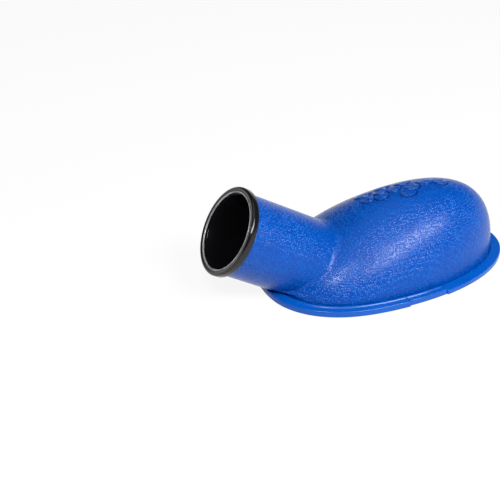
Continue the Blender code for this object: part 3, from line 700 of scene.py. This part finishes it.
# The blue rim, in four lengths
rim = {
    "outerZ": 0.0003,
    "shelfZ": 0.0040,
    "topZ": 0.0047,
    "bead": 0.0010,
    "beadWide": 0.0026,
    "footGap": 0.0008,
    "skirt": 0.0026,
    "clipStep": 0.0012,
    "jointGap": 0.0003,
    "clipFront": 95.5,
    "clipRear": 111.5,
    "samples": 30,
    "round": 0.0009,
    "endRound": 0.00025,
}


def beadRise(inset, middle):
    part = abs(inset - middle) / (rim["beadWide"] / 2)
    return rim["bead"] * math.sqrt(1 - part * part) if part < 1 else 0


def rimSection(outer, beaded):
    # The rim's section as (distance in from the outline, height), over the top and back under it
    inner = outline["flangeWide"] - rim["footGap"]
    half = rim["beadWide"] / 2
    section = [(outer, rim["outerZ"]), (outer, rim["shelfZ"] - rim["round"] / 2)]
    for step in range(rim["samples"] + 1):
        inset = outer + (inner - outer) * step / rim["samples"]
        edge = max(min(inset - outer, inner - inset, rim["round"]), 0) / rim["round"]
        top = rim["shelfZ"] + (rim["topZ"] - rim["shelfZ"]) * math.sqrt(1 - (1 - edge) ** 2)
        if beaded:
            top += beadRise(inset, outer + half) + beadRise(inset, inner - half)
        section.append((inset, top))
    under = rim["shelfZ"] - rim["round"] / 5
    return section + [(inner, under), (rim["skirt"], under), (rim["skirt"], rim["outerZ"])]


def sweepRim(name, start, end, section, node):
    rings = [fineRing(inset) for inset, height in section]
    pitch = 360 / len(rings[0])
    stops = [start]
    stops += [i * pitch for i in range(math.ceil(start / pitch), math.floor(end / pitch) + 1)]
    stops.append(end)
    bm = bmesh.new()
    verts = None
    for stop in stops:
        places = [(*ringPlace(ring, stop), height) for ring, (inset, height) in zip(rings, section)]
        verts = extrudeRing(bm, verts) if verts else closedOutline(bm, places)
        for vert, place in zip(verts, places):
            vert.co = place
    bmesh.ops.holes_fill(bm, edges=bm.edges)
    bmesh.ops.recalc_face_normals(bm, faces=bm.faces)
    ends = [e for f in bm.faces if len(f.verts) > 4 for e in f.edges]
    bmesh.ops.bevel(bm, geom=ends, offset=rim["endRound"], segments=2, profile=0.5,
                    affect="EDGES", clamp_overlap=True, material=-1)
    piece = makePiece(name, bm, finishes["rim_blue"], 35)
    return onBase(piece, node)


def halfGap(degrees):
    ring = fineRing(0)
    return rim["jointGap"] / (ringPlace(ring, degrees + 1) - ringPlace(ring, degrees)).length / 2


def makeRims():
    front = rim["clipFront"]
    rear = rim["clipRear"]
    plans = (
        ("FrontRim", "rim_front", -front, front, 0, True),
        ("RearRim", "rim_rear", rear, 360 - rear, 0, False),
        ("LeftRimClip", "rim_clip_left", front, rear, rim["clipStep"], True),
        ("RightRimClip", "rim_clip_right", 360 - rear, 360 - front, rim["clipStep"], True),
    )
    for name, node, start, end, outer, beaded in plans:
        low = start + halfGap(start)
        high = end - halfGap(end)
        sweepRim(name, low, high, rimSection(outer, beaded), node)


makeRims()
print("rims made")

# The black collar and the tube in the neck
collar = {
    "outer": 0.0402,
    "seat": 0.0374,
    "lip": 0.0344,
    "long": 0.0062,
    "lipLong": 0.0027,
    "shoulder": 0.0021,
    "groove": 0.0006,
    "bead": 0.0007,
    "beadSink": 0.0001,
    "slopeShares": (2.4, 3.4),        # where the slope behind the bead starts and ends, in beads
    "slopeLow": 0.8,
    "edge": 0.0004,
    "roundSteps": 10,
    "edgeSteps": 3,
}
tube = {
    "wall": 0.0010,
    "start": 0.0030,
    "end": 0.084,
    "footZ": 0.0145,
    "edge": 0.0002,
}
turnSteps = 128
weld = 0.00001        # doubles nearer than this are merged


def spinProfile(points):
    # Turns a closed profile of (radius, depth) about the barrel's axis
    bm = bmesh.new()
    closedOutline(bm, [(radius, 0, -depth) for radius, depth in points])
    bmesh.ops.spin(bm, geom=bm.verts[:] + bm.edges[:], cent=(0, 0, 0), axis=(0, 0, 1), dvec=(0, 0, 0),
                   angle=2 * math.pi, steps=turnSteps, use_merge=True, use_duplicate=False)
    bmesh.ops.remove_doubles(bm, verts=bm.verts, dist=weld)
    bmesh.ops.recalc_face_normals(bm, faces=bm.faces)
    return bm


def makeCollar():
    # A round shoulder, a shallow groove and a small bead round the bore
    shoulder = collar["shoulder"]
    bead = collar["bead"]
    edge = collar["edge"]
    outer = collar["outer"]
    lip = collar["lip"]
    slopeFrom, slopeTo = (lip + bead * share for share in collar["slopeShares"])
    points = roundCorner((outer - shoulder, shoulder), shoulder, -90, 0, collar["roundSteps"])
    points += roundCorner((outer - edge, collar["long"] - edge), edge, 0, 90, collar["edgeSteps"])
    points += [(collar["seat"], collar["long"]), (collar["seat"], collar["lipLong"])]
    points += [(lip, collar["lipLong"])]
    points += roundCorner((lip + bead, bead + collar["beadSink"]), bead, 180, 335, collar["roundSteps"])
    points += [(slopeFrom, collar["groove"]), (slopeTo, collar["groove"] * collar["slopeLow"])]
    bm = spinProfile(points)
    bmesh.ops.transform(bm, matrix=barrelPlace, verts=bm.verts)
    return onBase(makePiece("MuzzleCollar", bm, collarFinish), "muzzle_collar")


def makeTube():
    bore = barrel["bore"]
    wall = bore + tube["wall"]
    bm = spinProfile([(wall, tube["start"]), (wall, tube["end"]), (bore, tube["end"]), (bore, tube["start"])])
    bevelSharp(bm, tube["edge"])
    bmesh.ops.transform(bm, matrix=barrelPlace, verts=bm.verts)
    cut = bmesh.ops.bisect_plane(bm, geom=bm.verts[:] + bm.edges[:] + bm.faces[:], dist=0.000001,
                                 plane_co=(0, 0, tube["footZ"]), plane_no=(0, 0, 1), clear_inner=True)
    edges = [part for part in cut["geom_cut"] if isinstance(part, bmesh.types.BMEdge)]
    bmesh.ops.triangle_fill(bm, edges=edges, use_beauty=True)
    bmesh.ops.recalc_face_normals(bm, faces=bm.faces)
    return onBase(makePiece("BarrelTube", bm, finishes["black_gloss"]), "barrel_tube")


makeCollar()
makeTube()
print("collar and tube made")

# The coil spring under the treadle
spring = {
    "x": -0.045,
    "coil": 0.015,
    "wire": 0.0011,
    "turns": 7,
    "steps": 28,
    "wireSteps": 3,
    "closedGap": 0.0005,
    "keep": 0.55,
}


def makeSpring():
    low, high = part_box("return_spring")
    bottom = low.z + spring["wire"]
    top = high.z - spring["wire"]
    dead = spring["wire"] * 2 + spring["closedGap"]
    count = spring["turns"] * spring["steps"]
    curve = bpy.data.curves.new("springWire", "CURVE")
    curve.dimensions = "3D"
    curve.bevel_depth = spring["wire"]
    curve.bevel_resolution = spring["wireSteps"]
    curve.use_fill_caps = True
    spline = curve.splines.new("POLY")
    spline.points.add(count)
    for step, point in enumerate(spline.points):
        turns = step / spring["steps"]
        share = min(max((turns - 1) / (spring["turns"] - 2), 0), 1)
        ends = min(turns, 1) + max(turns - spring["turns"] + 1, 0)
        z = bottom + dead * ends + (top - bottom - 2 * dead) * share
        angle = 2 * math.pi * turns
        x = spring["x"] + spring["coil"] * math.cos(angle)
        point.co = (x, spring["coil"] * math.sin(angle), z, 1)
    wire = bpy.data.objects.new("springWire", curve)
    scene.collection.objects.link(wire)
    bpy.context.view_layer.update()
    mesh = bpy.data.meshes.new_from_object(wire.evaluated_get(bpy.context.evaluated_depsgraph_get()))
    bpy.data.objects.remove(wire)
    bm = bmesh.new()
    bm.from_mesh(mesh)
    bmesh.ops.remove_doubles(bm, verts=bm.verts, dist=weld)
    bmesh.ops.recalc_face_normals(bm, faces=bm.faces)
    piece = onBase(makePiece("ReturnSpring", bm, finishes["steel"]), "return_spring")
    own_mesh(piece)
    return piece


makeSpring()
print("spring made")


def dressNodes():
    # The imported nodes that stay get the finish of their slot
    slots = {part["node"]: part["material_slot"] for part in frame["record"]["subparts"]}
    for name, node in frame["nodes"].items():
        for place in node.material_slots:
            place.material = finishes[slots[name]]


dressNodes()

studio = {
    "floorColor": (0.86, 0.86, 0.87),
    "floorGlow": 0.90,
    "floorRough": 0.9,
    "floorSpecular": 0.2,
    "floorHalf": 6,
    "floorDrop": 0.0002,
    "worldFill": 0.10,
    "ceiling": 0.06,
    "band": (0.02, 0.30),
    "aim": (0.02, 0.0, 0.04),
    # name: azimuth and elevation in degrees, distance, width and height, power
    "lamps": {
        "left softbox": (114, 44, 1.4, (0.90, 0.46), 25.5),
        "right softbox": (54, 50, 1.4, (0.30, 0.26), 9.0),
        "top light": (20, 86, 1.5, (1.5, 1.5), 5.0),
    },
}


def seenByCamera(material):
    # One for camera, glossy and transmitted rays, so that the white ground shows in all of them
    path = addNode(material, "ShaderNodeLightPath")
    first = addNode(material, "ShaderNodeMath", {
        0: path.outputs["Is Camera Ray"], 1: path.outputs["Is Glossy Ray"]}, operation="MAXIMUM")
    both = addNode(material, "ShaderNodeMath", {
        0: first.outputs[0], 1: path.outputs["Is Transmission Ray"]}, operation="MAXIMUM")
    return both.outputs[0]


def makeFloor():
    material, shader = newMaterial(
        "pale floor", studio["floorColor"], studio["floorRough"], 0, studio["floorSpecular"])
    glow = addNode(material, "ShaderNodeEmission", Strength=1.0)
    share = addNode(material, "ShaderNodeMath", {0: seenByCamera(material)}, operation="MULTIPLY")
    share.inputs[1].default_value = studio["floorGlow"]
    mix = addNode(material, "ShaderNodeMixShader", {
        0: share.outputs[0], 1: shader.outputs[0], 2: glow.outputs[0]})
    feed(material, material.node_tree.nodes["Material Output"], "Surface", mix.outputs[0])
    bm = bmesh.new()
    bmesh.ops.create_grid(bm, x_segments=1, y_segments=1, size=studio["floorHalf"])
    bmesh.ops.translate(bm, vec=(0, 0, -studio["floorDrop"]), verts=bm.verts)
    makePiece("floor", bm, material)


def makeWorld():
    world = bpy.data.worlds.new("white studio")
    world.use_nodes = True
    scene.world = world
    fill = world.node_tree.nodes["Background"]
    fill.inputs["Color"].default_value = (1, 1, 1, 1)
    fill.inputs["Strength"].default_value = studio["worldFill"]
    white = addNode(world, "ShaderNodeBackground", Strength=1.0)
    white.inputs["Color"].default_value = (1, 1, 1, 1)
    # The backdrop is white for the camera; for reflections it is white low down, under a dim ceiling
    direction = addNode(world, "ShaderNodeTexCoord").outputs["Generated"]
    rise = addNode(world, "ShaderNodeSeparateXYZ", {"Vector": direction}).outputs["Z"]
    band = spread(world, rise, 1, studio["ceiling"], *studio["band"], True)
    camera = addNode(world, "ShaderNodeLightPath").outputs["Is Camera Ray"]
    strength = addNode(world, "ShaderNodeMath", {0: band, 1: camera}, operation="MAXIMUM")
    feed(world, white, "Strength", strength.outputs[0])
    mix = addNode(world, "ShaderNodeMixShader", {
        0: seenByCamera(world), 1: fill.outputs[0], 2: white.outputs[0]})
    feed(world, world.node_tree.nodes["World Output"], "Surface", mix.outputs[0])


def areaLight(name, azimuth, elevation, far, size, power):
    light = bpy.data.lights.new(name, "AREA")
    light.shape = "RECTANGLE"
    light.size, light.size_y = size
    light.energy = power
    lamp = bpy.data.objects.new(name, light)
    scene.collection.objects.link(lamp)
    aim = Vector(studio["aim"])
    turn = math.radians(azimuth)
    lift = math.radians(elevation)
    away = Vector((math.cos(turn) * math.cos(lift), math.sin(turn) * math.cos(lift), math.sin(lift)))
    lamp.location = aim + away * far
    lamp.rotation_euler = away.to_track_quat("Z", "Y").to_euler()


view = {
    "place": (0.42085, 0.76392, 0.55347),
    "elevation": 0.559,
    "heading": 0.363,
    "lens": 79.1057,
    "sensor": 36.0,
    "clip": (0.05, 50),
}


def makeCamera():
    data = bpy.data.cameras.new("camera")
    data.lens = view["lens"]
    data.sensor_width = view["sensor"]
    data.clip_start, data.clip_end = view["clip"]
    camera = bpy.data.objects.new("camera", data)
    scene.collection.objects.link(camera)
    camera.location = view["place"]
    camera.rotation_euler = (math.pi / 2 - view["elevation"], 0, math.pi - view["heading"])
    scene.camera = camera


makeFloor()
makeWorld()
for name, plan in studio["lamps"].items():
    areaLight(name, *plan)
makeCamera()
scene.view_settings.view_transform = "Standard"
print("studio and camera set")
